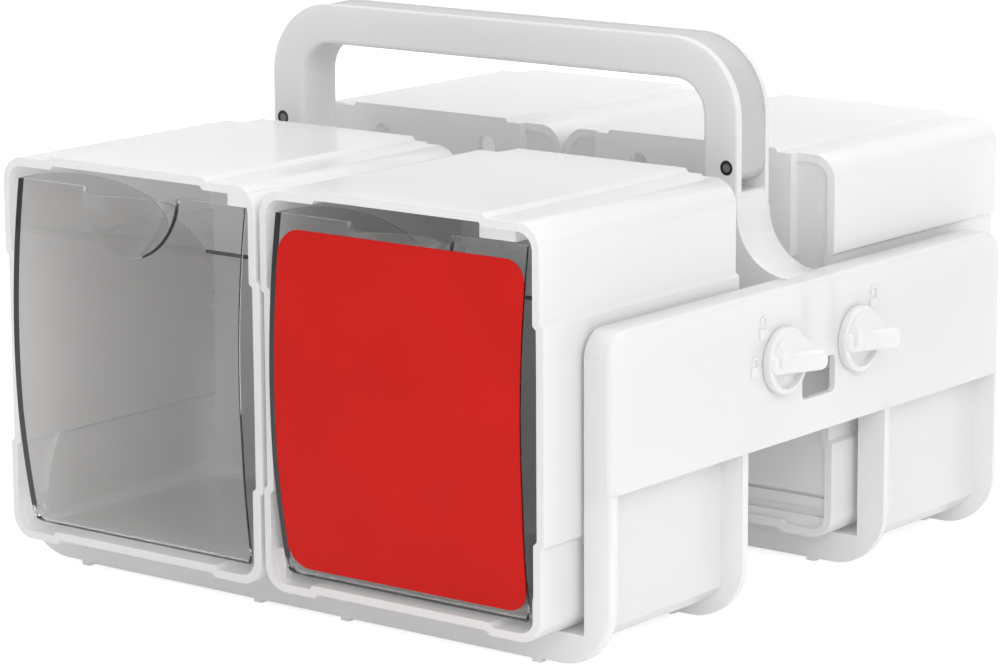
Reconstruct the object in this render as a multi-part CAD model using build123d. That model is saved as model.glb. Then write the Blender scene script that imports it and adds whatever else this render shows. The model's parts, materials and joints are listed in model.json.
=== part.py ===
from build123d import *
import os
from math import acos, asin, atan2, cos, degrees, radians, sin, sqrt, tan

# A carrier with a fixed arch handle holds four interlocking housings, two facing
# the front and two facing the rear. Each housing has a clear bin that tilts out at
# its front bottom edge. Four knobs on the carrier's sides lock the housings in.
# The origin is at the bottom centre, +Z up, -Y to the front. Sizes in millimetres.

# Housings
module_gap = 1.8
centre_gap = 57.6
housing_width = 113.2
housing_height = 132.0
housing_depth = 104.0
housing_wall = 2.9
housing_corner = 8.5
housing_edge_round = 0.5
interlock_step = 1.4
step_slope = 1.2
interlock_clearance = 0.6
plateau_width = 70.0
side_step_low = 31.0
side_step_high = 101.2
side_groove_low = 34.2
side_groove_high = 98.6

# Back of a housing
back_recess = 1.2
back_wall = 2.5
back_block_rise = 3.0
back_block_margin = 6.0
back_block_low = 97.0
arch_hole_width = 7.5
arch_hole_height = 12.0
arch_hole_spacing = 48.0
arch_hole_drop = 7.0
arch_hole_shift = -1.75
back_grooves = ((2.7, 3.4), (9.4, 1.3))
back_groove_depth = 1.3
back_groove_margin = 0.5

# Bins
bin_wall = 1.5
bin_side_clearance = 1.2
bin_floor_clearance = 0.35
bin_back_clearance = 5.8
bin_top_clearance = 4.5
bin_base_inset = 1.2
bin_taper_height = 40.0
bin_taper_blend = 60.0
bin_base_corner = 5.0
bin_back_corner = 4.0
panel_bulge = 4.9
panel_top_set_back = 2.0
pivot_set_back = 7.3
pivot_height = 4.25
pivot_radius = 2.2
pivot_engagement = 2.4
pivot_clearance = 0.05
pivot_end_clearance = 0.4
boss_set_back = 3.5
boss_depth = 8.0
boss_width = 3.1
boss_above_pivot = 4.7
scoop_mouth = 21.0
scoop_lift = 2.4
scoop_depth = 8.0
scoop_lip_drop = 3.4

# Tilt stop
stop_gap = 0.5
stop_back = 10.0
lug_rise = 2.3
lug_side_clearance = 0.6
corner_stop_width = 8.5
inset_stop_start = 31.5
inset_stop_width = 14.0
inset_stop_set_back = 2.5

# Bin guide ribs on the housing's side walls
guide_width = 1.8
guide_rise = 2.1
guide_start = (12.5, 10.0)
guide_bend = (14.0, 20.0)
guide_end = (20.0, 34.0)

# Label on one bin
label_thickness = 0.4
label_gap = 0.05
label_side_inset = 1.5
label_top_inset = 4.5
label_bottom_inset = 4.0
label_shift = 1.0
label_corner = 8.0

# Carrier
module_side_clearance = 1.5
module_seat_gap = 0.3
front_overhang = 18.3
back_overhang = 11.7
flange_thickness = 3.0
flange_depth = 8.4
flange_corner = 20.0
flange_edge_round = 1.5
web_thickness = 2.2
floor_thickness = 3.8
floor_chamfer = 4.7
ring_depth = 10.5
foot_height = 1.2
foot_width = 3.2
inner_foot = 19.0
outer_foot_inset = 29.5

# Side rails
rail_above_floor = 45.9
rail_height = 51.1
rail_wall = 2.3
rail_end_round = 9.0
rail_edge_round = 2.2
rail_corner_gap = 0.5
window_width = 19.4
window_height = 12.5
window_above_rail = 11.9
window_corner = 2.0

# Handle
handle_inset = 16.0
handle_leg_width = 14.1
handle_thickness = 19.0
handle_plate = 2.6
handle_rise = 77.0
handle_corner = 26.0
handle_inner_round = 1.8
handle_edge_round = 0.9
column_height = 26.8
column_flare = 20.0
flare_lip = 0.6
column_top_round = 2.0
gusset_depth = 20.4
gusset_tip = 8.0
core_gap = 3.2
core_clearance = 0.25
core_corner = 4.0
core_edge_round = 1.0
pin_radius = 2.5
pin_clearance = 0.05
pin_from_outside = 4.4
pin_above_core_end = 4.85
pin_recess = 0.2

# Knobs and locking arms
knob_set_in = 6.8
knob_above_rail = 27.7
knob_radius = 11.1
knob_disc = 3.0
knob_edge_round = 0.8
knob_gap = 0.4
knob_rim = 1.8
knob_pocket = 1.8
grip_height = 8.4
grip_low = 1.0
grip_tip = 4.0
grip_thickness = 6.8
grip_length = 21.6
grip_round = 2.0
grip_brace = 3.4
shaft_radius = 4.0
shaft_clearance = 0.05
arm_thickness = 2.5
arm_hub_radius = 6.5
arm_hub_height = 2.2
arm_hub_gap = 0.3
arm_reach = 12.0
arm_rest_angle = 20.0
lock_turn = 45.0
lock_pin_radius = 2.0
lock_pin_clearance = 0.5
lock_pin_margin = 0.9
screw_radius = 1.4
screw_clearance = 0.1
screw_length = 9.0
screw_head_radius = 2.9
screw_head_height = 1.8
screw_slot_width = 0.9
screw_slot_depth = 0.8

# Places worked out from the sizes above
half_depth = centre_gap / 2 + housing_depth
module_pitch = housing_width + module_gap
inner_half = housing_width / 2 - housing_wall
floor_top = foot_height + ring_depth
seat_height = floor_top + module_seat_gap
side_inner = module_pitch / 2 + housing_width / 2 + interlock_step + module_side_clearance
side_outer = side_inner + web_thickness
carrier_half = side_outer + flange_depth
cradle_front = -(half_depth - front_overhang)
cradle_back = -(centre_gap / 2 + back_overhang)
rail_bottom = floor_top + rail_above_floor
rail_top = rail_bottom + rail_height
skin_inner = carrier_half - rail_wall
ledge_under = rail_top - rail_wall
raised_floor = housing_wall + interlock_step
slope_share = tan(atan2(interlock_step, step_slope) / 2)
bin_bottom = raised_floor + bin_floor_clearance
pivot_y = pivot_set_back
pivot_z = bin_bottom + pivot_height
ceiling = housing_height - housing_wall
bin_top = ceiling - bin_top_clearance
bin_half = inner_half - interlock_step - bin_side_clearance
bin_base_half = bin_half - bin_base_inset
bin_back = housing_depth - back_recess - back_wall - bin_back_clearance
sweep_radius = sqrt((panel_top_set_back - pivot_y) ** 2 + (bin_top - pivot_z) ** 2)
back_top = pivot_z + sqrt(sweep_radius ** 2 - (bin_back - pivot_y) ** 2)
lug_radius = sweep_radius + lug_rise
lug_top = pivot_z + sqrt(lug_radius ** 2 - (bin_back - pivot_y) ** 2)
stop_bottom = pivot_z + sweep_radius + stop_gap
lug_lean = asin((bin_back - bin_wall - pivot_y) / lug_radius)
tilt_angle = degrees(lug_lean - asin((stop_back - pivot_y) / lug_radius))
scoop_radius = (scoop_mouth ** 2 + scoop_depth ** 2) / (2 * scoop_depth)
boss_inner = inner_half - boss_width
boss_top = pivot_z + boss_above_pivot
back_block_half = plateau_width / 2 + back_block_margin
knob_y = centre_gap / 2 - knob_set_in
knob_z = rail_bottom + knob_above_rail
handle_half = side_inner - handle_inset
handle_top = rail_top + handle_rise
column_top = rail_top + column_height
core_end = column_top + core_gap
lock_y = housing_depth + knob_set_in
lock_z = knob_z - seat_height
corner_stop = (inner_half - corner_stop_width, inner_half, 0.0)
inset_stop = (inset_stop_start, inset_stop_start + inset_stop_width, inset_stop_set_back)
reach_past = 1.0


def block(low, high):
    """A box between two opposite corners."""
    size = [b - a for a, b in zip(low, high)]
    middle = [(a + b) / 2 for a, b in zip(low, high)]
    return Pos(*middle) * Box(*size)


def along_y(shape, start, end):
    """A shape drawn in X and Z, drawn out from one Y to another."""
    return extrude(Plane.XZ.offset(-start) * shape, amount=start - end)


def along_x(shape, start, end):
    """A shape drawn in Y and Z, drawn out from one X to another."""
    return extrude(Plane.YZ.offset(start) * shape, amount=end - start)


def rod_x(radius, start, end, y, z):
    """A round bar along X."""
    return along_x(Pos(y, z) * Circle(radius), start, end)


def rectangle(low, high):
    """A flat rectangle between two opposite corners."""
    size = [b - a for a, b in zip(low, high)]
    middle = [(a + b) / 2 for a, b in zip(low, high)]
    return Pos(*middle) * Rectangle(*size)


def step_face(start, end, base, upright):
    """The outline of a low step with sloped ends, along X or, upright, along Z."""
    half = step_slope / 2
    outside = base - reach_past
    crest = base + interlock_step
    points = [(start - half, outside), (start - half, base), (start + half, crest),
              (end - half, crest), (end + half, base), (end + half, outside)]
    if upright:
        points = [(across, along) for along, across in points]
    return make_face(Polyline(*points, close=True))


def housing_section(inset):
    """The housing's outline: a rounded box with a raised top, an arched-in floor, a right
    wall that stands out and a left wall that is set in, so that neighbours interlock."""
    shrink = inset * slope_share
    half = housing_width / 2 - inset
    low = inset
    high = housing_height - inset
    outline = Pos(0, housing_height / 2) * RectangleRounded(2 * half, high - low, housing_corner - inset)
    plateau_half = plateau_width / 2 - shrink
    outline += step_face(-plateau_half, plateau_half, high, False)
    floor_half = plateau_width / 2 + interlock_clearance + shrink
    outline -= step_face(-floor_half, floor_half, low, False)
    outline += step_face(side_step_low + shrink, side_step_high - shrink, half, True)
    outline -= step_face(side_groove_low - shrink, side_groove_high + shrink, -half, True)
    return outline


def arch_hole(x, top):
    """An opening with a round head and a flat foot."""
    radius = arch_hole_width / 2
    foot = top - arch_hole_height
    shape = rectangle((x - radius, foot), (x + radius, top - radius))
    return shape + Pos(x, top - radius) * Circle(radius)


def back_panel():
    """The closed inner end: a panel set in the rim, and a hollow block that stands out at the top."""
    inside = housing_depth - back_recess - back_wall
    face = housing_depth + back_block_rise
    over = housing_height + 2 * interlock_step
    panel = along_y(housing_section(housing_wall), inside, housing_depth - back_recess)
    span = rectangle((-back_block_half, back_block_low), (back_block_half, over))
    panel += along_y(housing_section(0) & span, housing_depth - back_recess - reach_past, face)
    room_half = back_block_half - back_wall
    span = rectangle((-room_half, back_block_low + back_wall), (room_half, over))
    panel -= along_y(housing_section(housing_wall) & span, inside - reach_past, face - back_wall)
    top = housing_height + interlock_step - arch_hole_drop
    for x in (arch_hole_shift - arch_hole_spacing / 2, arch_hole_shift + arch_hole_spacing / 2):
        panel -= along_y(arch_hole(x, top), inside, face + reach_past)
    face = housing_depth - back_recess
    half = inner_half - back_groove_margin
    for above_floor, height in back_grooves:
        low = raised_floor + above_floor
        groove = rectangle((-half, low), (half, low + height))
        panel -= along_y(groove, face - back_groove_depth, face + reach_past)
    return panel


def pivot_boss():
    """The right-hand block at the front bottom corner that holds the bin's pivot."""
    back = boss_set_back + boss_depth
    boss = block((boss_inner, boss_set_back, housing_wall), (inner_half + reach_past, back, boss_top))
    return boss - rod_x(pivot_radius + pivot_clearance, boss_inner - reach_past,
                        boss_inner + pivot_engagement + pivot_end_clearance, pivot_y, pivot_z)


def guide_rib():
    """The right-hand curved rib that leads the bin's pivot down to its boss."""
    path = ThreePointArc(guide_start, guide_bend, guide_end)
    return along_x(trace(path, guide_width), inner_half + reach_past, inner_half - guide_rise)


def pin_spot(angle):
    """The locking pin's place beside its axis, with the arm leaned from straight down to its housing."""
    return -arm_reach * sin(radians(angle)), -arm_reach * cos(radians(angle))


def lock_slot(wall_inner, wall_outer):
    """The curved slot in a side wall that the locking pin swings into."""
    half = lock_pin_radius + lock_pin_clearance
    middle = pin_spot(arm_rest_angle + lock_turn / 2)
    end = pin_spot(arm_rest_angle + lock_turn)
    path = trace(ThreePointArc(pin_spot(arm_rest_angle), middle, end), 2 * half)
    path += Pos(*end) * Circle(half)
    return along_x(Pos(lock_y, lock_z) * path, wall_inner, wall_outer)


def housing(stop):
    """One housing, with its front at Y = 0 and its bottom at Z = 0."""
    shell = along_y(housing_section(0), 0, housing_depth)
    front_rim = shell.faces().sort_by(Axis.Y)[0].edges()
    shell = fillet(front_rim, housing_edge_round)
    shell -= along_y(housing_section(housing_wall), -reach_past, housing_depth + reach_past)
    shell += back_panel()
    boss = pivot_boss()
    rib = guide_rib()
    shell += [boss, mirror(boss, Plane.YZ), rib, mirror(rib, Plane.YZ)]
    start, end, set_back = stop
    shell += block((start, set_back, stop_bottom), (end, stop_back, ceiling + reach_past))
    tongue_inner = inner_half + interlock_step
    groove_inner = inner_half - interlock_step
    shell -= lock_slot(tongue_inner, tongue_inner + housing_wall + reach_past)
    shell -= lock_slot(-groove_inner, -groove_inner - housing_wall - reach_past)
    return shell


def bin_side_view(inset, open_top):
    """The bin seen from the side: a bowed front, a round pivot corner and a back wall. The
    top edge follows the sweep about the pivot, or runs straight up where it is open."""
    front_low = (pivot_y - pivot_height + inset, pivot_z)
    bow = (panel_top_set_back + front_low[0] - inset) / 2 - panel_bulge + inset
    front_mid = (bow, (pivot_z + bin_top) / 2)
    front_top = (panel_top_set_back + inset, bin_top)
    back = bin_back - inset
    low = bin_bottom + inset
    corner = bin_back_corner - inset
    turn = pivot_height - inset
    lines = [ThreePointArc(front_top, front_mid, front_low)]
    heel = (pivot_y - turn * sin(radians(45)), pivot_z - turn * cos(radians(45)))
    lines.append(ThreePointArc(front_low, heel, (pivot_y, low)))
    lines.append(Line((pivot_y, low), (back - corner, low)))
    bend = (back - corner + corner * sin(radians(45)), low + corner - corner * cos(radians(45)))
    lines.append(ThreePointArc((back - corner, low), bend, (back, low + corner)))
    if open_top:
        over = housing_height + housing_depth
        lines.append(Polyline((back, low + corner), (back, over), (front_top[0], over), front_top))
    else:
        lines.append(Line((back, low + corner), (back, back_top)))
        lean = acos((back_top - pivot_z) / sweep_radius) / 2 - acos((bin_top - pivot_z) / sweep_radius) / 2
        crest = (pivot_y + sweep_radius * sin(lean), pivot_z + sweep_radius * cos(lean))
        lines.append(ThreePointArc((back, back_top), crest, front_top))
    return make_face(lines)


def bin_front_view(inset, over):
    """The bin seen from the front: straight sides that narrow towards the pivots."""
    low = bin_bottom + inset
    base = bin_base_half - inset
    side = bin_half - inset
    knee = bin_bottom + bin_taper_height
    points = [(-base, low), (base, low), (side, knee), (side, over), (-side, over), (-side, knee)]
    outline = make_face(Polyline(*points, close=True))
    feet = outline.vertices().group_by(Axis.Y)[0]
    outline = fillet(feet, max(bin_base_corner - inset, inset / 2))
    knees = [v for v in outline.vertices() if abs(v.Y - knee) < 1e-6]
    return fillet(knees, bin_taper_blend)


def scoop(thickness):
    """A round finger dish at the middle of the front's top edge."""
    middle = panel_top_set_back + scoop_depth - scoop_radius
    return Pos(0, middle, bin_top + scoop_lift) * Sphere(scoop_radius + thickness)


def scoop_lip():
    """The level dip in the top edge above the dish."""
    start = panel_top_set_back - panel_bulge
    end = panel_top_set_back + scoop_depth + 2 * bin_wall
    dip = block((-scoop_mouth, start, bin_top - scoop_lip_drop), (scoop_mouth, end, housing_height))
    return fillet(dip.edges().filter_by(Axis.Y).group_by(Axis.Z)[0], scoop_lip_drop)


def tilt_bin(stop):
    """One clear bin in the housing's frame, with its pivots and its stop lug."""
    over = housing_height + housing_depth
    outer_side = along_x(bin_side_view(0, False), -bin_half, bin_half)
    outer = outer_side & along_y(bin_front_view(0, over), -housing_depth, 2 * housing_depth)
    inner_side = along_x(bin_side_view(bin_wall, True), -bin_half, bin_half)
    inner = inner_side & along_y(bin_front_view(bin_wall, over), -housing_depth, 2 * housing_depth)
    dish = scoop(bin_wall) & outer
    body = outer - inner + dish - scoop(0) - scoop_lip()
    inside = bin_base_half - bin_wall
    pivot = rod_x(pivot_radius, inside, boss_inner + pivot_engagement, pivot_y, pivot_z)
    body += [pivot, mirror(pivot, Plane.YZ)]
    start, end, set_back = stop
    lug_start = start + lug_side_clearance
    lug_end = min(end - lug_side_clearance, bin_half)
    lug = block((lug_start, bin_back - bin_wall, back_top - lug_rise), (lug_end, bin_back, lug_top))
    return body + lug


def label_sheet():
    """A thin plain sheet that follows the bowed front of a bin."""
    wide = bin_half - label_side_inset
    narrow = bin_base_half - label_side_inset
    low = bin_bottom + label_bottom_inset
    knee = bin_bottom + bin_taper_height
    high = bin_top - label_top_inset
    points = [(-narrow, low), (narrow, low), (wide, knee), (wide, high), (-wide, high), (-wide, knee)]
    outline = make_face(Polyline(*points, close=True))
    ends = [v for v in outline.vertices() if abs(v.Y - knee) > 1e-6]
    outline = fillet(ends, label_corner)
    knees = [v for v in outline.vertices() if abs(v.Y - knee) < 1e-6]
    outline = fillet(knees, bin_taper_blend / 2)
    skin = bin_side_view(-label_gap - label_thickness, True) - bin_side_view(-label_gap, True)
    outline = along_y(Pos(label_shift, 0) * outline, -housing_depth, pivot_y)
    return along_x(skin, -bin_half, bin_half) & outline


def ring(front, back):
    """A U-shaped flange at one end of a cradle, up to the rails, with feet under it."""
    low = foot_height
    outline = rectangle((-carrier_half, low), (carrier_half, rail_bottom))
    outline = fillet(outline.vertices().group_by(Axis.Y)[0], flange_corner)
    outline -= rectangle((-side_inner, floor_top), (side_inner, rail_bottom + reach_past))
    plate = along_y(outline, front, back)
    half = foot_width / 2
    for place in (inner_foot, carrier_half - outer_foot_inset):
        for x in (-place, place):
            plate += block((x - half, front, 0), (x + half, back, low + reach_past))
    return plate


def cradle_web():
    """The right-hand wall of the front cradle inside the rail, with its upper front corner rounded."""
    front = cradle_front + flange_thickness
    wall = rectangle((front, rail_bottom - reach_past), (cradle_back, ledge_under))
    corner = wall.vertices().group_by(Axis.Y)[-1].sort_by(Axis.X)[0]
    wall = fillet(corner, rail_end_round - rail_wall + rail_corner_gap)
    return along_x(wall, side_inner, side_outer)


def cradle():
    """The front cradle: a U-shaped tray for two housings, with a flange at each end."""
    under = floor_top - floor_thickness
    edge = side_outer - floor_chamfer
    points = [(-side_outer, rail_bottom), (-side_outer, under + floor_chamfer), (-edge, under), (edge, under),
              (side_outer, under + floor_chamfer), (side_outer, rail_bottom), (side_inner, rail_bottom),
              (side_inner, floor_top), (-side_inner, floor_top), (-side_inner, rail_bottom)]
    tray = along_y(make_face(Polyline(*points, close=True)), cradle_front, cradle_back)
    end_ring = ring(cradle_front, cradle_front + flange_thickness)
    outer_face = end_ring.faces().sort_by(Axis.Y)[0]
    beside = side_inner + flange_edge_round
    rim = [e for e in outer_face.edges() if max(abs(v.X) for v in e.vertices()) > beside]
    rim = [e for e in rim if e.bounding_box().max.Z > foot_height + flange_edge_round]
    end_ring = fillet([e for e in rim if e.bounding_box().min.Z < rail_bottom - flange_edge_round],
                      flange_edge_round)
    web = cradle_web()
    return tray + end_ring + ring(cradle_back - flange_thickness, cradle_back) + [web, mirror(web, Plane.YZ)]


def rail_side_view(inset, low):
    """The rail seen from the side: a long band with rounded upper corners."""
    end = -cradle_front - inset
    top = rail_top - min(inset, rail_wall)
    band = rectangle((-end, low), (end, top))
    return fillet(band.vertices().group_by(Axis.Y)[-1], rail_end_round - min(inset, rail_wall))


def rail():
    """The right-hand side rail: a channel that joins both cradles and carries the knobs."""
    body = along_x(rail_side_view(0, rail_bottom), side_inner, carrier_half)
    rim = body.faces().sort_by(Axis.X)[-1].edges()
    body = fillet([e for e in rim if e.bounding_box().max.Z > rail_bottom + reach_past], rail_edge_round)
    shelf = rail_bottom + rail_wall
    body -= along_x(rail_side_view(flange_thickness, shelf), side_inner - reach_past, skin_inner)
    end = -(cradle_front + flange_thickness)
    inside = side_inner - reach_past
    body -= block((inside, -end, rail_bottom - reach_past), (side_outer, end, shelf + reach_past))
    start = skin_inner - reach_past
    outside = carrier_half + reach_past
    for y in (-knob_y, knob_y):
        body -= rod_x(shaft_radius + shaft_clearance, start, outside, y, knob_z)
    low = rail_bottom + window_above_rail
    window = Pos(0, low + window_height / 2) * RectangleRounded(window_width, window_height, window_corner)
    return body - along_x(window, start, outside)


def arch(half, top, corner, low):
    """The outline of an arch with rounded shoulders, down to a given height."""
    outline = rectangle((-half, low), (half, top))
    return fillet(outline.vertices().group_by(Axis.Y)[-1], corner)


def handle_frame():
    """The arch handle: a channel open to the outside, on two columns with flared feet."""
    half_thick = handle_thickness / 2
    channel_half = half_thick - handle_plate
    inner_half_width = handle_half - handle_leg_width
    inner_top = handle_top - handle_leg_width
    inner_corner = handle_corner - handle_leg_width
    low = ledge_under
    outside = arch(handle_half, handle_top, handle_corner, low)
    opening = arch(inner_half_width, inner_top, inner_corner, low - reach_past)
    frame = along_y(outside - opening, -half_thick, half_thick)
    face_edges = [e for e in frame.edges() if abs(abs(e.center().Y) - half_thick) < 1e-6]
    inner_edges = [e for e in face_edges if e.bounding_box().max.Z < inner_top + 1e-3
                   and all(abs(v.X) < inner_half_width + 1e-3 for v in e.vertices())]
    frame = fillet(inner_edges, handle_inner_round)
    face_edges = [e for e in frame.edges() if abs(abs(e.center().Y) - half_thick) < 1e-6]
    tall_edges = [e for e in face_edges if e.bounding_box().max.Z > low + reach_past]
    outer_edges = [e for e in tall_edges if any(abs(v.X) > handle_half - 1e-3 or v.Z > handle_top - 1e-3
                                                for v in e.vertices())]
    frame = fillet(outer_edges, handle_edge_round)
    core_room = arch(inner_half_width + handle_plate, inner_top + handle_plate, inner_corner + handle_plate,
                     column_top - reach_past)
    past = handle_half + reach_past
    beyond = rectangle((-past, column_top), (past, handle_top + reach_past))
    frame -= along_y(beyond - core_room, -channel_half, channel_half)
    shoulder = column_top_round
    rounding = rectangle((handle_half - shoulder, column_top - shoulder), (past, column_top))
    rounding -= Pos(handle_half - shoulder, column_top - shoulder) * Circle(shoulder)
    rounding = along_y(rounding, -channel_half, channel_half)
    frame -= [rounding, mirror(rounding, Plane.YZ)]
    for side in (-1, 1):
        foot = column_foot()
        frame += foot if side > 0 else mirror(foot, Plane.YZ)
    for side in (-1, 1):
        hollow = column_hollow()
        frame -= hollow if side > 0 else mirror(hollow, Plane.YZ)
        frame -= pin_bore(side, pin_radius + pin_clearance)
    return frame


def column_foot():
    """The right-hand foot: a flared base, and two gussets that reach under the rail's top."""
    half_thick = handle_thickness / 2
    start = handle_half - handle_leg_width
    end = handle_half + column_flare
    top = rail_top + flare_lip + column_flare
    flare = rectangle((handle_half - reach_past, rail_top), (end, top))
    flare -= Pos(end, top) * Circle(column_flare)
    flare += rectangle((start, ledge_under), (side_inner, rail_top))
    foot = along_y(flare, -half_thick, half_thick)
    tip = ledge_under - gusset_depth
    points = [(start, ledge_under), (skin_inner, ledge_under), (skin_inner, tip),
              (skin_inner - gusset_tip, tip), (start, ledge_under - gusset_tip)]
    gusset = make_face(Polyline(*points, close=True))
    foot += along_y(gusset, half_thick - handle_plate, half_thick)
    return foot + along_y(gusset, -half_thick, -half_thick + handle_plate)


def column_hollow():
    """The space inside the right-hand column, open at the bottom."""
    start = handle_half - handle_leg_width + handle_plate
    end = handle_half - handle_plate
    half = handle_thickness / 2 - handle_plate
    return block((start, -half, ledge_under - reach_past), (end, half, column_top - handle_plate))


def pin_place(side):
    """The middle of the handle's channel on one leg, above the core's lower end."""
    return side * (handle_half - pin_from_outside), core_end + pin_above_core_end


def pin_bore(side, radius):
    """A round bar through one leg of the handle."""
    x, z = pin_place(side)
    return along_y(Pos(x, z) * Circle(radius), -handle_thickness, handle_thickness)


def handle_core():
    """The grey core that fills the handle's channel and is pinned at both ends."""
    half = handle_thickness / 2 - handle_plate - core_clearance
    inner_half_width = handle_half - handle_leg_width + handle_plate + core_clearance
    inner_top = handle_top - handle_leg_width + handle_plate + core_clearance
    inner_corner = handle_corner - handle_leg_width + handle_plate + core_clearance
    outer_half = handle_half - core_clearance
    outside = arch(outer_half, handle_top - core_clearance, handle_corner - core_clearance, core_end)
    opening = arch(inner_half_width, inner_top, inner_corner, core_end - reach_past)
    core = along_y(outside - opening, -half, half)
    ends = [e for e in core.edges().filter_by(Axis.Y) if abs(e.center().Z - core_end) < 1e-6]
    outer_ends = [e for e in ends if abs(e.center().X) > inner_half_width + 1e-3]
    core = fillet(outer_ends, core_corner)
    for side in (-1, 1):
        core -= pin_bore(side, pin_radius + pin_clearance)
    return core


def handle_pins():
    """Two steel pins through the handle's plates and core, one on each leg."""
    half = handle_thickness / 2 - pin_recess
    pins = []
    for side in (-1, 1):
        x, z = pin_place(side)
        pins.append(along_y(Pos(x, z) * Circle(pin_radius), -half, half))
    return Compound(children=pins)


def knob():
    """A round disc with a grip that rises towards +Y and a shaft, on the right-hand front place."""
    back = carrier_half + knob_gap
    face = back + knob_disc
    y, z = -knob_y, knob_z
    disc = rod_x(knob_radius, back, face, y, z)
    disc = fillet(disc.faces().sort_by(Axis.X)[-1].edges(), knob_edge_round)
    below_grip = rectangle((-knob_radius, -knob_radius), (knob_radius, -grip_thickness / 2))
    pocket = Pos(y, z) * (Circle(knob_radius - knob_rim) & below_grip)
    disc -= along_x(pocket, face - knob_pocket, face + reach_past)
    bar = Pos(y, z) * RectangleRounded(grip_length, grip_thickness, grip_thickness / 2 - grip_round / 4)
    grip = along_x(bar, face - reach_past, face + grip_height)
    start = y - grip_length / 2
    crest = y + grip_length / 2 - grip_tip
    slope = [(face + grip_low, start), (face + grip_height, crest), (face + grip_height, start)]
    ramp = extrude(make_face(Polyline(*slope, close=True)), amount=grip_thickness, both=True)
    grip -= Pos(0, 0, z) * ramp
    tops = [f for f in grip.faces() if f.normal_at().X > 0.5]
    grip = fillet(ShapeList(tops).edges(), grip_round)
    brace_top = z + knob_radius - knob_rim
    slope = [(face - reach_past, z), (face + grip_brace, z), (face + grip_brace, z + grip_thickness / 2),
             (face, brace_top), (face - reach_past, brace_top)]
    brace = along_y(make_face(Polyline(*slope, close=True)), y - knob_radius, y + knob_radius)
    brace &= rod_x(knob_radius - knob_rim, back, face + grip_height, y, z)
    shaft_end = skin_inner - arm_hub_gap
    body = disc + grip + brace + rod_x(shaft_radius, shaft_end, back + reach_past, y, z)
    return body - rod_x(screw_radius + screw_clearance, shaft_end - reach_past,
                        shaft_end + screw_length - arm_thickness - arm_hub_height + reach_past, y, z)


def lock_arm(wall_inner):
    """The arm inside the rail that turns with a knob, and its pin that enters the housing."""
    y, z = -knob_y, knob_z
    top = skin_inner - arm_hub_gap
    hub_end = top - arm_hub_height
    plate_end = hub_end - arm_thickness
    arm = rod_x(arm_hub_radius, plate_end, top, y, z)
    strip = SlotCenterToCenter(arm_reach, 2 * lock_pin_radius + 2 * arm_thickness)
    pin_y, pin_z = pin_spot(arm_rest_angle)
    strip = Pos(y + pin_y / 2, z + pin_z / 2) * Rot(0, 0, 90 - arm_rest_angle) * strip
    arm += along_x(strip, plate_end, hub_end)
    pin_end = module_pitch / 2 + wall_inner + lock_pin_margin
    arm += rod_x(lock_pin_radius, pin_end, plate_end, y + pin_y, z + pin_z)
    return arm - rod_x(screw_radius + screw_clearance, plate_end - reach_past, top + reach_past, y, z)


def knob_screw():
    """The screw that holds an arm to its knob, with a slot in its head."""
    y, z = -knob_y, knob_z
    seat = skin_inner - arm_hub_gap - arm_hub_height - arm_thickness
    screw = rod_x(screw_radius, seat, seat + screw_length, y, z)
    screw += rod_x(screw_head_radius, seat - screw_head_height, seat, y, z)
    head = seat - screw_head_height
    half = screw_slot_width / 2
    slot = block((head - reach_past, y - screw_head_radius, z - half),
                 (head + screw_slot_depth, y + screw_head_radius, z + half))
    return screw - slot


def place_module(shape, end, side):
    """Set a housing's piece at the front or rear, left or right."""
    if end == "front":
        return Pos(side * module_pitch / 2, -half_depth, seat_height) * shape
    return Pos(side * module_pitch / 2, half_depth, seat_height) * Rot(0, 0, 180) * shape


def place_knob(shape, end, side):
    """Set a knob or its screw, drawn for the right-hand front place, at one of the four places."""
    if end == "rear":
        shape = Pos(0, 2 * knob_y, 0) * shape
    return shape if side > 0 else mirror(shape, Plane.YZ)


def place_arm(shape, end, side):
    """Set an arm, drawn for the right-hand front place, so that it leans to its own housing."""
    if end == "front":
        return shape if side > 0 else mirror(shape, Plane.YZ)
    return mirror(shape, Plane.XZ) if side > 0 else Rot(0, 0, 180) * shape


parts = {}
front_cradle = cradle()
parts["front_cradle"] = front_cradle
parts["rear_cradle"] = mirror(front_cradle, Plane.XZ)
right_rail = rail()
parts["right_rail"] = right_rail
parts["left_rail"] = mirror(right_rail, Plane.YZ)
parts["handle_frame"] = handle_frame()
parts["handle_core"] = handle_core()
parts["handle_pins"] = handle_pins()

stops = {"front_left": corner_stop, "front_right": inset_stop,
         "rear_left": inset_stop, "rear_right": inset_stop}
knob_shape = knob()
screw_shape = knob_screw()
arm_shapes = {"tongue": lock_arm(inner_half + interlock_step),
              "groove": lock_arm(inner_half - interlock_step)}
sides = {"left": -1, "right": 1}
for place in stops:
    end, side_name = place.split("_")
    side = sides[side_name]
    parts["housing_" + place] = place_module(housing(stops[place]), end, side)
    parts["bin_" + place] = place_module(tilt_bin(stops[place]), end, side)
    wall = "tongue" if place in ("front_right", "rear_left") else "groove"
    parts["knob_" + place] = place_knob(knob_shape, end, side)
    parts["lock_arm_" + place] = place_arm(arm_shapes[wall], end, side)
    parts["knob_screw_" + place] = place_knob(screw_shape, end, side)
parts["bin_label"] = place_module(label_sheet(), "front", 1)

os.makedirs("parts", exist_ok=True)
for name, shape in parts.items():
    export_step(shape, "parts/" + name + ".step")
    box = shape.bounding_box()
    print(name, len(shape.solids()), round(shape.volume), [round(v, 1) for v in (*box.min, *box.max)])
print("bin tilt", round(tilt_angle, 2), "pivot", pivot_y - half_depth, pivot_z + seat_height)
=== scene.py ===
import json
from math import cos, pi, radians, sin

import bmesh
import bpy
from mathutils import Matrix, Vector


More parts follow.
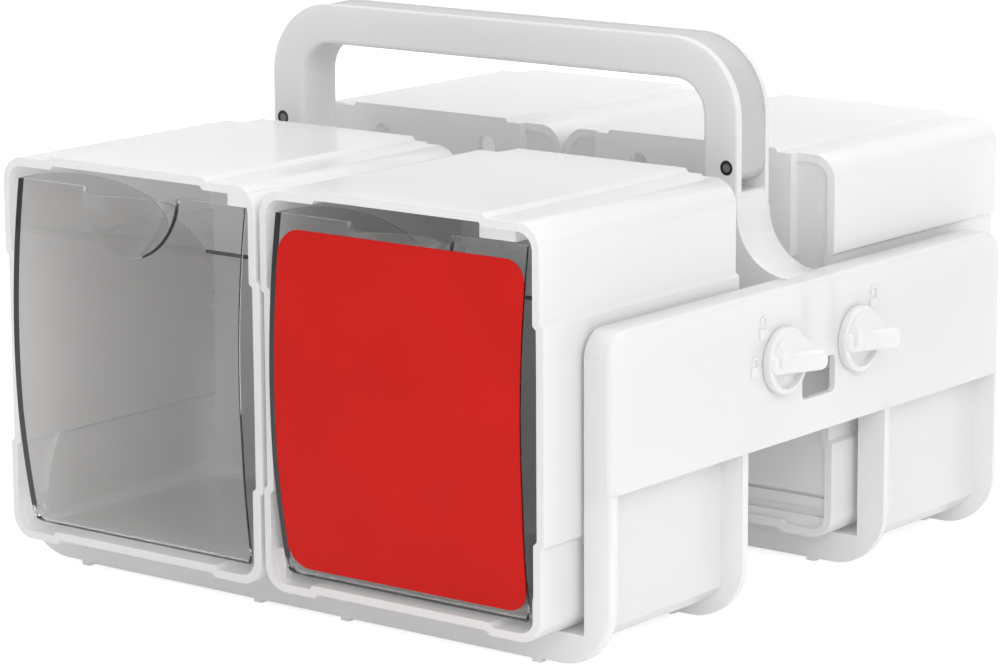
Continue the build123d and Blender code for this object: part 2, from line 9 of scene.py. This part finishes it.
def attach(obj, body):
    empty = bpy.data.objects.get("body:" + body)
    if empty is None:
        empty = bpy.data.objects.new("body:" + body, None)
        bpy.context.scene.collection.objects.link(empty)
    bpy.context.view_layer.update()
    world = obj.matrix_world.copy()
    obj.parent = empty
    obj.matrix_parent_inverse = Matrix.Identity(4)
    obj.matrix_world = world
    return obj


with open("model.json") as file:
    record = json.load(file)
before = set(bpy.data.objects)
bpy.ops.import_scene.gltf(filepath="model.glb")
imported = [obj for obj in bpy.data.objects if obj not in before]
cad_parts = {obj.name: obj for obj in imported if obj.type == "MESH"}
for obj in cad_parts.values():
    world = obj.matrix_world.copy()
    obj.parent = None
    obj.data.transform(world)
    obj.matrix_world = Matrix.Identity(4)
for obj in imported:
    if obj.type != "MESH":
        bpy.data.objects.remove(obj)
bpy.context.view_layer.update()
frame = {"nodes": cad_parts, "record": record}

nodes = frame["nodes"]
print("frame loaded:", len(nodes), "nodes")


# Shader helpers

def newMaterial(name):
    material = bpy.data.materials.new(name)
    material.use_nodes = True
    tree = material.node_tree
    tree.nodes.clear()
    output = tree.nodes.new("ShaderNodeOutputMaterial")
    return material, tree, output


def addNode(tree, kind, **values):
    node = tree.nodes.new(kind)
    for key, value in values.items():
        node.inputs[key.replace("_", " ")].default_value = value
    return node


def addMath(tree, operation, *sources):
    node = tree.nodes.new("ShaderNodeMath")
    node.operation = operation
    for source, socket in zip(sources, node.inputs):
        tree.links.new(source, socket)
    return node


def addVectorMath(tree, operation, source, value=None):
    node = tree.nodes.new("ShaderNodeVectorMath")
    node.operation = operation
    tree.links.new(source, node.inputs[0])
    if value:
        node.inputs[1].default_value = value
    return node


def mixShaders(tree, first, second, **values):
    mix = addNode(tree, "ShaderNodeMixShader", **values)
    tree.links.new(first, mix.inputs[1])
    tree.links.new(second, mix.inputs[2])
    return mix


def objectNoise(tree, scale, detail):
    coords = tree.nodes.new("ShaderNodeTexCoord")
    noise = addNode(tree, "ShaderNodeTexNoise", Scale=scale, Detail=detail)
    tree.links.new(coords.outputs["Object"], noise.inputs["Vector"])
    return noise.outputs["Fac"]


def ramp(tree, source, low, high, start=0.3, end=0.7):
    node = tree.nodes.new("ShaderNodeValToRGB")
    first, last = node.color_ramp.elements
    first.position, first.color = start, (*low, 1.0)
    last.position, last.color = end, (*high, 1.0)
    tree.links.new(source, node.inputs["Fac"])
    return node.outputs["Color"]


def spread(tree, source, low, high):
    node = addNode(tree, "ShaderNodeMapRange", To_Min=low, To_Max=high)
    tree.links.new(source, node.inputs["Value"])
    return node.outputs["Result"]


def seenRays(tree):
    # 1 for rays that show a surface in the picture, straight, mirrored or through the clear plastic
    light = tree.nodes.new("ShaderNodeLightPath")
    mirrored = addMath(tree, "MAXIMUM", light.outputs["Is Glossy Ray"], light.outputs["Is Transmission Ray"])
    seen = addMath(tree, "MAXIMUM", light.outputs["Is Camera Ray"], mirrored.outputs["Value"])
    return seen.outputs["Value"]


def moulded(name, look):
    # injection-moulded plastic: faint cloudiness, a fine grain and a slightly uneven gloss
    material, tree, output = newMaterial(name)
    shader = addNode(tree, "ShaderNodeBsdfPrincipled", IOR=look["ior"])
    cloud = objectNoise(tree, look["cloudScale"], look["cloudDetail"])
    tint = ramp(tree, cloud, look["low"], look["high"])
    tree.links.new(tint, shader.inputs["Base Color"])
    tree.links.new(spread(tree, cloud, *look["roughness"]), shader.inputs["Roughness"])
    bump = addNode(tree, "ShaderNodeBump", Strength=look["grain"], Distance=look["grainDepth"])
    tree.links.new(objectNoise(tree, look["grainScale"], look["grainDetail"]), bump.inputs["Height"])
    tree.links.new(bump.outputs["Normal"], shader.inputs["Normal"])
    glow = addNode(tree, "ShaderNodeBsdfTranslucent")
    tree.links.new(tint, glow.inputs["Color"])
    mix = mixShaders(tree, shader.outputs["BSDF"], glow.outputs["BSDF"], Fac=look["letThrough"])
    tree.links.new(mix.outputs["Shader"], output.inputs["Surface"])
    return material


def clearPlastic(name, look):
    # clear walls of real thickness; light passes them on its way to the inside
    material, tree, output = newMaterial(name)
    shader = addNode(tree, "ShaderNodeBsdfPrincipled", IOR=look["ior"], Base_Color=(*look["tint"], 1.0),
                     Transmission_Weight=1.0, Coat_Weight=look["coat"], Coat_IOR=look["coatIor"],
                     Coat_Roughness=look["coatRoughness"])
    haze = objectNoise(tree, look["hazeScale"], look["hazeDetail"])
    tree.links.new(spread(tree, haze, *look["roughness"]), shader.inputs["Roughness"])
    through = addNode(tree, "ShaderNodeBsdfTransparent", Color=(*look["shadow"], 1.0))
    light = tree.nodes.new("ShaderNodeLightPath")
    passing = addMath(tree, "MAXIMUM", light.outputs["Is Shadow Ray"], light.outputs["Is Diffuse Ray"])
    mix = mixShaders(tree, shader.outputs["BSDF"], through.outputs["BSDF"])
    tree.links.new(passing.outputs["Value"], mix.inputs["Fac"])
    tree.links.new(mix.outputs["Shader"], output.inputs["Surface"])
    return material


def metal(name, look):
    material, tree, output = newMaterial(name)
    shader = addNode(tree, "ShaderNodeBsdfPrincipled", Metallic=1.0)
    brush = objectNoise(tree, look["brushScale"], look["brushDetail"])
    tree.links.new(ramp(tree, brush, look["low"], look["high"]), shader.inputs["Base Color"])
    tree.links.new(spread(tree, brush, *look["roughness"]), shader.inputs["Roughness"])
    tree.links.new(shader.outputs["BSDF"], output.inputs["Surface"])
    return material


def pinHeadPaintedShade(name, look):
    # painted shade: the pin's rim is painted near black to stand in for the shade in the gap around the pin,
    # with plain steel in the middle; both pins share one node, mirrored in X
    material, tree, output = newMaterial(name)
    shader = addNode(tree, "ShaderNodeBsdfPrincipled", Metallic=look["metallic"], Roughness=look["roughness"])
    coords = tree.nodes.new("ShaderNodeTexCoord")
    folded = addVectorMath(tree, "ABSOLUTE", coords.outputs["Object"])
    centre = (look["centre"][0], 0.0, look["centre"][1])
    centred = addVectorMath(tree, "SUBTRACT", folded.outputs["Vector"], centre)
    flat = addVectorMath(tree, "MULTIPLY", centred.outputs["Vector"], (1.0, 0.0, 1.0))
    reach = addVectorMath(tree, "LENGTH", flat.outputs["Vector"])
    share = addNode(tree, "ShaderNodeMapRange", From_Max=look["radius"])
    tree.links.new(reach.outputs["Value"], share.inputs["Value"])
    # painted shade: the ramp darkens the colour towards the pin's rim, where the gap around the pin lies in
    # shade
    tint = ramp(tree, share.outputs["Result"], look["middle"], look["rim"], *look["edge"])
    tree.links.new(tint, shader.inputs["Base Color"])
    tree.links.new(shader.outputs["BSDF"], output.inputs["Surface"])
    return material


def printedSheet(name, look):
    # coloured on its front, plain white on its back
    material = moulded(name, look)
    tree = material.node_tree
    shader = next(n for n in tree.nodes if n.type == "BSDF_PRINCIPLED")
    printed = shader.inputs["Base Color"].links[0].from_socket
    coords = tree.nodes.new("ShaderNodeTexCoord")
    facing = tree.nodes.new("ShaderNodeSeparateXYZ")
    tree.links.new(coords.outputs["Normal"], facing.inputs["Vector"])
    behind = addMath(tree, "GREATER_THAN", facing.outputs["Y"])
    behind.inputs[1].default_value = look["backFrom"]
    mix = tree.nodes.new("ShaderNodeMix")
    mix.data_type = "RGBA"
    mix.inputs["B"].default_value = (*look["back"], 1.0)
    tree.links.new(behind.outputs["Value"], mix.inputs["Factor"])
    tree.links.new(printed, mix.inputs["A"])
    tree.links.new(mix.outputs["Result"], shader.inputs["Base Color"])
    return material


# Finishes

whiteLook = {"low": (0.89, 0.89, 0.89), "high": (0.92, 0.92, 0.92), "ior": 1.5, "roughness": (0.17, 0.22),
             "cloudScale": 9.0, "cloudDetail": 2.0, "grainScale": 900.0, "grainDetail": 3.0,
             "grain": 0.012, "grainDepth": 0.00006, "letThrough": 0.3}
knobLook = dict(whiteLook, roughness=(0.20, 0.26))
greyLook = {"low": (0.46, 0.46, 0.47), "high": (0.49, 0.49, 0.50), "ior": 1.48, "roughness": (0.38, 0.46),
            "cloudScale": 14.0, "cloudDetail": 2.0, "grainScale": 1200.0, "grainDetail": 3.0,
            "grain": 0.06, "grainDepth": 0.0002, "letThrough": 0.0}
labelLook = {"low": (0.56, 0.010, 0.007), "high": (0.60, 0.012, 0.009), "ior": 1.2, "roughness": (0.5, 0.6),
             "cloudScale": 30.0, "cloudDetail": 2.0, "grainScale": 2500.0, "grainDetail": 3.0,
             "grain": 0.05, "grainDepth": 0.0001, "letThrough": 0.0, "back": (0.8, 0.8, 0.79), "backFrom": 0.5}
clearLook = {"tint": (0.82, 0.815, 0.81), "ior": 1.23, "roughness": (0.0, 0.02), "hazeScale": 20.0,
             "hazeDetail": 2.0, "shadow": (0.987, 0.985, 0.984), "coat": 0.8, "coatIor": 1.45,
             "coatRoughness": 0.03}
steelLook = {"low": (0.28, 0.28, 0.29), "high": (0.40, 0.40, 0.41), "roughness": (0.30, 0.42),
             "brushScale": 600.0, "brushDetail": 4.0}
# pin colours: a plain steel middle and a near-black painted shade at the rim
pinLook = {"centre": (0.0966, 0.1435), "radius": 0.0025, "edge": (0.50, 0.62), "middle": (0.16, 0.16, 0.17),
           "rim": (0.012, 0.012, 0.013), "metallic": 0.4, "roughness": 0.45}

finishes = {
    "white_plastic": moulded("mouldedWhite", whiteLook),
    "knob_plastic": moulded("mouldedKnobWhite", knobLook),
    "grey_plastic": moulded("mouldedGrey", greyLook),
    "red_label": printedSheet("labelRed", labelLook),
    "clear_plastic": clearPlastic("clearBin", clearLook),
    "steel": metal("plainSteel", steelLook),
}
for row in frame["record"]["subparts"]:
    piece = nodes[row["node"]]
    piece.data.materials.clear()
    piece.data.materials.append(finishes[row["material_slot"]])
nodes["handle_pins"].data.materials[0] = pinHeadPaintedShade("pinHeadsPaintedRimShade", pinLook)
print("finishes set:", ", ".join(sorted(finishes)))


# Moulded edges: a small round on every sharp edge of the white, knob and grey plastic parts

edgeLook = {"weld": 0.000002, "segments": 2, "angle": 40.0,
            "widths": {"white_plastic": 0.0004, "knob_plastic": 0.0003, "grey_plastic": 0.0005}}


def softenEdges(piece, width):
    weld = piece.modifiers.new("joined", "WELD")
    weld.merge_threshold = edgeLook["weld"]
    bevel = piece.modifiers.new("edgeRound", "BEVEL")
    bevel.width = width
    bevel.segments = edgeLook["segments"]
    bevel.limit_method = "ANGLE"
    bevel.angle_limit = radians(edgeLook["angle"])
    bevel.harden_normals = True


for row in frame["record"]["subparts"]:
    if row["material_slot"] in edgeLook["widths"]:
        softenEdges(nodes[row["node"]], edgeLook["widths"][row["material_slot"]])
print("edges rounded")


# Open and closed padlock marks, moulded into the rails beside each knob

markLook = {"rise": 0.0006, "sink": 0.0002, "width": 0.0046, "height": 0.0038, "corner": 0.0007, "bow": 0.0014,
            "band": 0.0007, "leg": 0.0014, "lift": 0.0011, "steps": 6, "edge": 0.00012, "edgeSegments": 2}
markPlaces = {"open": (0.0105, 0.0119), "closed": (0.0152, 0.0002)}


def arcPoints(centre, radius, start, end, steps):
    turns = [start + (end - start) * i / steps for i in range(steps + 1)]
    return [(centre[0] + radius * cos(a), centre[1] + radius * sin(a)) for a in turns]


def markBody(look):
    half, low, high, corner = look["width"] / 2, -look["height"], 0.0, look["corner"]
    centres = [(half - corner, high - corner), (corner - half, high - corner), (corner - half, low + corner),
               (half - corner, low + corner)]
    outline = []
    for i, centre in enumerate(centres):
        outline += arcPoints(centre, corner, i * pi / 2, (i + 1) * pi / 2, look["steps"])
    return outline


def markBow(look, opened):
    base = look["lift"] if opened else 0.0
    top = base + look["leg"]
    steps = 2 * look["steps"]
    outer, inner = look["bow"] + look["band"] / 2, look["bow"] - look["band"] / 2
    free = base if opened else -look["sink"]
    outline = [(outer, -look["sink"])] + arcPoints((0, top), outer, 0, pi, steps) + [(-outer, free)]
    return outline + [(-inner, free)] + arcPoints((0, top), inner, pi, 0, steps) + [(inner, -look["sink"])]


def addMark(name, outlines, face, side, place, flip):
    mesh = bpy.data.meshes.new(name)
    shape = bmesh.new()
    for outline in outlines:
        back = face - markLook["sink"]
        ring = [shape.verts.new((side * back, place[0] + flip * u, place[1] + v)) for u, v in outline]
        sheet = shape.faces.new(ring)
        grown = bmesh.ops.extrude_face_region(shape, geom=[sheet])["geom"]
        moved = [g for g in grown if isinstance(g, bmesh.types.BMVert)]
        bmesh.ops.translate(shape, verts=moved, vec=(side * (markLook["rise"] + markLook["sink"]), 0, 0))
    bmesh.ops.recalc_face_normals(shape, faces=shape.faces)
    shape.to_mesh(mesh)
    shape.free()
    mark = bpy.data.objects.new(name, mesh)
    bpy.context.scene.collection.objects.link(mark)
    mark.data.materials.append(finishes["white_plastic"])
    edge = mark.modifiers.new("edgeRound", "BEVEL")
    edge.width, edge.segments = markLook["edge"], markLook["edgeSegments"]
    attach(mark, "carrier")


for joint in frame["record"]["behaviour"]["joints"]:
    if joint["name"].endswith("_turn"):
        x, y, z = joint["pos_m"]
        side, end = (1 if x > 0 else -1), (1 if y > 0 else -1)
        for state, (along, above) in markPlaces.items():
            outlines = [markBody(markLook), markBow(markLook, state == "open")]
            place = (y + end * along, z + above)
            addMark(joint["child"] + "_mark_" + state, outlines, abs(x), side, place, end)
print("padlock marks added")


# Floor, light and camera

stageLook = {"floorSize": 8.0, "floorColour": (0.9, 0.9, 0.9), "floorGlow": 0.62, "floorBounce": 0.14,
             "worldLight": 0.64, "worldSeen": 1.0}
lamps = [
    {"name": "topSoftbox", "place": (0.0, 0.35, 1.6), "aim": (0, 0.05, 0.1), "size": (1.4, 1.4),
     "power": 12.0},
    {"name": "rightSoftbox", "place": (1.20, -0.60, 0.85), "aim": (0.1, -0.08, 0.1), "size": (0.9, 0.9),
     "power": 7.4},
    {"name": "frontFill", "place": (0.8, -1.75, 0.75), "aim": (0, -0.1, 0.08), "size": (1.0, 0.8),
     "power": 1.5},
]
photoCamera = {"place": (0.8266, -1.0577, 0.3508), "azimuth": 38.20, "elevation": 11.62, "roll": -0.34,
               "lens": 141.53, "sensor": 36.0, "clip": (0.05, 50.0)}


def makeFloor(look):
    bpy.ops.mesh.primitive_plane_add(size=look["floorSize"], location=(0, 0, 0))
    floor = bpy.context.object
    floor.name = "floor"
    material, tree, output = newMaterial("paleFloor")
    matt = addNode(tree, "ShaderNodeBsdfDiffuse", Color=(*look["floorColour"], 1.0))
    glow = addNode(tree, "ShaderNodeEmission", Color=(1, 1, 1, 1))
    strength = spread(tree, seenRays(tree), look["floorBounce"], look["floorGlow"])
    tree.links.new(strength, glow.inputs["Strength"])
    both = tree.nodes.new("ShaderNodeAddShader")
    tree.links.new(matt.outputs["BSDF"], both.inputs[0])
    tree.links.new(glow.outputs["Emission"], both.inputs[1])
    tree.links.new(both.outputs["Shader"], output.inputs["Surface"])
    floor.data.materials.append(material)


def makeWorld(look):
    world = bpy.data.worlds.new("studioWorld")
    bpy.context.scene.world = world
    world.use_nodes = True
    tree = world.node_tree
    tree.nodes.clear()
    output = tree.nodes.new("ShaderNodeOutputWorld")
    white = addNode(tree, "ShaderNodeBackground", Color=(1, 1, 1, 1), Strength=look["worldSeen"])
    soft = addNode(tree, "ShaderNodeBackground", Color=(1, 1, 1, 1), Strength=look["worldLight"])
    mix = mixShaders(tree, soft.outputs["Background"], white.outputs["Background"])
    tree.links.new(seenRays(tree), mix.inputs["Fac"])
    tree.links.new(mix.outputs["Shader"], output.inputs["Surface"])


def addLamp(lamp):
    data = bpy.data.lights.new(lamp["name"], "AREA")
    data.shape = "RECTANGLE"
    data.size, data.size_y = lamp["size"]
    data.energy = lamp["power"]
    box = bpy.data.objects.new(lamp["name"], data)
    box.location = lamp["place"]
    aim = Vector(lamp["aim"]) - Vector(lamp["place"])
    box.rotation_euler = aim.to_track_quat("-Z", "Y").to_euler()
    bpy.context.scene.collection.objects.link(box)


def addCamera(view):
    data = bpy.data.cameras.new("photoCamera")
    data.sensor_fit = "HORIZONTAL"
    data.sensor_width = view["sensor"]
    data.lens = view["lens"]
    data.clip_start, data.clip_end = view["clip"]
    camera = bpy.data.objects.new("photoCamera", data)
    turn = Matrix.Rotation(radians(view["azimuth"]), 3, "Z")
    turn = turn @ Matrix.Rotation(radians(90.0 - view["elevation"]), 3, "X")
    turn = turn @ Matrix.Rotation(radians(view["roll"]), 3, "Z")
    camera.rotation_euler = turn.to_euler()
    camera.location = view["place"]
    bpy.context.scene.collection.objects.link(camera)
    bpy.context.scene.camera = camera


makeFloor(stageLook)
makeWorld(stageLook)
for lamp in lamps:
    addLamp(lamp)
addCamera(photoCamera)
bpy.context.scene.view_settings.view_transform = "Standard"
print("floor, lamps and camera set")
